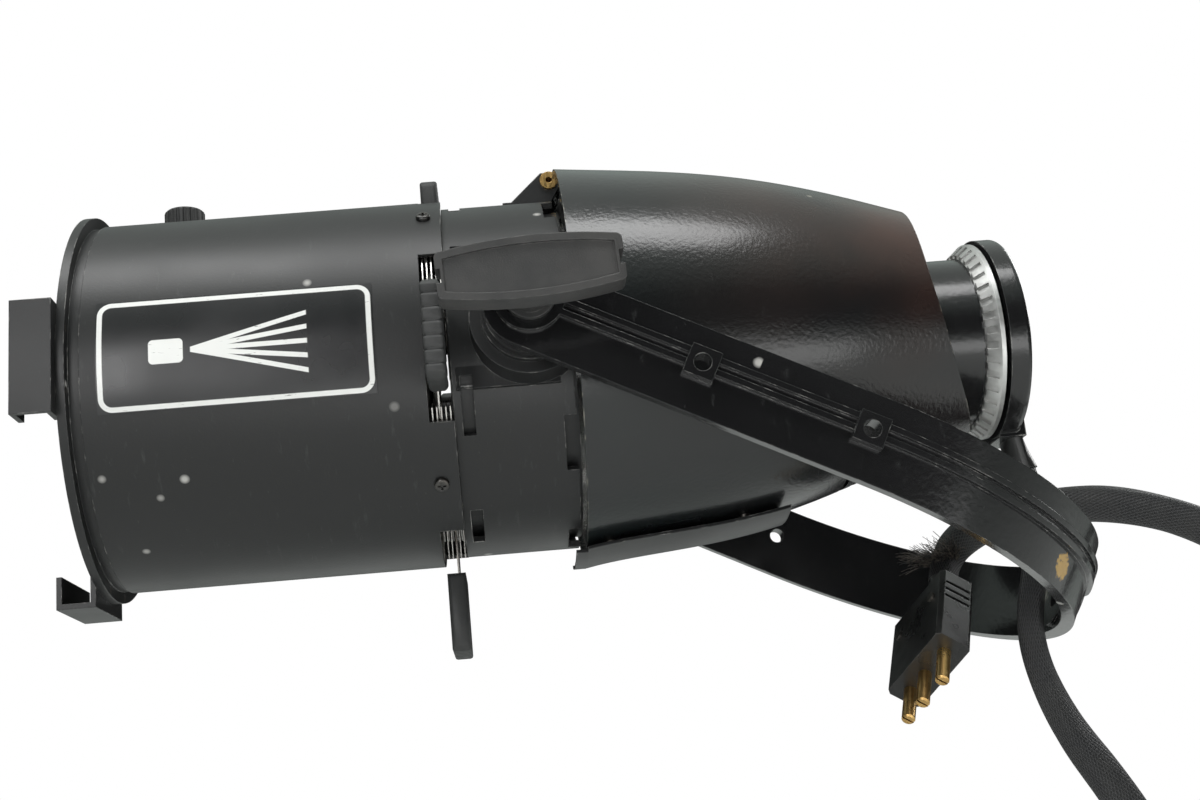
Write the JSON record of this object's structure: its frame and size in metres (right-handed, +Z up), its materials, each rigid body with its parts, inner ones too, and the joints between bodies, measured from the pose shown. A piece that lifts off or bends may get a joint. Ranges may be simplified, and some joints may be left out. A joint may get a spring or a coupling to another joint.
{
  "type": "stage profile spotlight",
  "caption": "Ellipsoidal stage spotlight with lens barrel, framing shutters, hinged rear hood, burner cap, tilting yoke with T-handles, and a sleeved lead with a pin plug.",
  "frame": {"origin": "centre of the yoke's clamp-bolt hole", "axes": "+X from the lens to the burner cap along the beam axis at rest, +Y along the tilt axis, +Z up"},
  "size_m": [0.6498, 0.3282, 0.4965],
  "materials": {
    "black_paint": "satin",
    "gloss_black": "gloss",
    "grey_plastic": "matte",
    "bright_steel": "brushed",
    "brass": "worn",
    "bare_aluminium": "satin",
    "glass": "clear",
    "ceramic": "fired ceramic",
    "sleeve": "woven sleeve",
    "plug_plastic": "moulded",
    "dark_screw": "blackened screw",
    "label": "printed film"
  },
  "bodies": {
    "yoke": {"yoke": "gloss_black"},
    "housing": {"barrel": "black_paint", "front_ring": "black_paint", "frame_claws": "black_paint", "claw_rivets": "dark_screw", "barrel_screws": "dark_screw", "label_plate": "label", "gate_body": "black_paint", "gate_plate": "bright_steel", "guide_plate": "bright_steel", "shutter_spacers": "bright_steel", "pivot_washer_near": "black_paint", "pivot_washer_far": "black_paint", "pivot_bush_near": "black_paint", "pivot_bush_far": "black_paint", "hinge_bracket": "black_paint", "hinge_rivet": "brass"},
    "carriage": {"lens_carriage": "bare_aluminium", "lens_front": "glass", "lens_rear": "glass", "lens_rings": "bright_steel", "focus_stud": "bright_steel"},
    "knob": {"focus_knob": "grey_plastic"},
    "t_near": {"t_handle_near": "grey_plastic", "t_stud_near": "bright_steel"},
    "t_far": {"t_handle_far": "grey_plastic", "t_stud_far": "bright_steel"},
    "hood": {"hood": "gloss_black", "bottom_plate": "black_paint", "plate_posts": "dark_screw", "reflector": "bare_aluminium", "tube_spider": "bright_steel", "burner_tube": "gloss_black"},
    "collar": {"finned_collar": "bare_aluminium"},
    "burner": {"burner_cap": "gloss_black", "lamp_socket": "ceramic", "lamp_base": "bright_steel", "lamp": "glass", "strain_relief": "plug_plastic", "lead": "sleeve", "plug_body": "plug_plastic", "plug_pins": "brass", "plug_screws": "dark_screw"},
    "shutter_top": {"shutter_top_blade": "bright_steel", "shutter_top_handle": "grey_plastic"},
    "shutter_near": {"shutter_near_blade": "bright_steel", "shutter_near_handle": "grey_plastic"},
    "shutter_bottom": {"shutter_bottom_blade": "bright_steel", "shutter_bottom_handle": "grey_plastic"},
    "shutter_far": {"shutter_far_blade": "bright_steel", "shutter_far_handle": "grey_plastic"}
  },
  "joints": [
    {"name": "tilt", "type": "hinge", "parent": "yoke", "child": "housing", "pos_m": [-0.245, 0, 0.12873], "axis": [0, 1, 0], "range_deg": [-78, 127], "deforming": ["lead", "plug_body", "plug_pins", "plug_screws"]},
    {"name": "t_near_turn", "type": "hinge", "parent": "housing", "child": "t_near", "pos_m": [-0.245, -0.13, 0.12873], "axis": [0, 1, 0], "range_deg": [-180, 180]},
    {"name": "t_far_turn", "type": "hinge", "parent": "housing", "child": "t_far", "pos_m": [-0.245, 0.13, 0.12873], "axis": [0, 1, 0], "range_deg": [-180, 180]},
    {"name": "focus", "type": "slide", "parent": "housing", "child": "carriage", "axis": [1, 0, 0], "range_m": [-0.008, 0.042]},
    {"name": "knob_turn", "type": "hinge", "parent": "carriage", "child": "knob", "pos_m": [-0.41, 0, 0.22373], "axis": [0, 0, 1], "range_deg": [-180, 180]},
    {"name": "hood_open", "type": "hinge", "parent": "housing", "child": "hood", "pos_m": [-0.226, 0, 0.22673], "axis": [0, 1, 0], "range_deg": [-62, 0]},
    {"name": "burner_slide", "type": "slide", "parent": "hood", "child": "burner", "axis": [1, 0, 0], "range_m": [0, 0.008]},
    {"name": "collar_turn", "type": "hinge", "parent": "hood", "child": "collar", "pos_m": [-0.03, 0, 0.12873], "axis": [1, 0, 0], "range_deg": [0, 120]},
    {"name": "shutter_top_slide", "type": "slide", "parent": "housing", "child": "shutter_top", "axis": [0, 0, -1], "range_m": [-0.032, 0.0055]},
    {"name": "shutter_near_slide", "type": "slide", "parent": "housing", "child": "shutter_near", "axis": [0, 0.9962, 0.0872], "range_m": [0, 0.038]},
    {"name": "shutter_bottom_slide", "type": "slide", "parent": "housing", "child": "shutter_bottom", "axis": [0, 0, 1], "range_m": [0, 0.038]},
    {"name": "shutter_far_slide", "type": "slide", "parent": "housing", "child": "shutter_far", "axis": [0, -1, 0], "range_m": [-0.004, 0.034]}
  ],
  "couplings": [
    {"joint": "collar_turn", "follows": "burner_slide", "rad_per_m": 261.8}
  ]
}
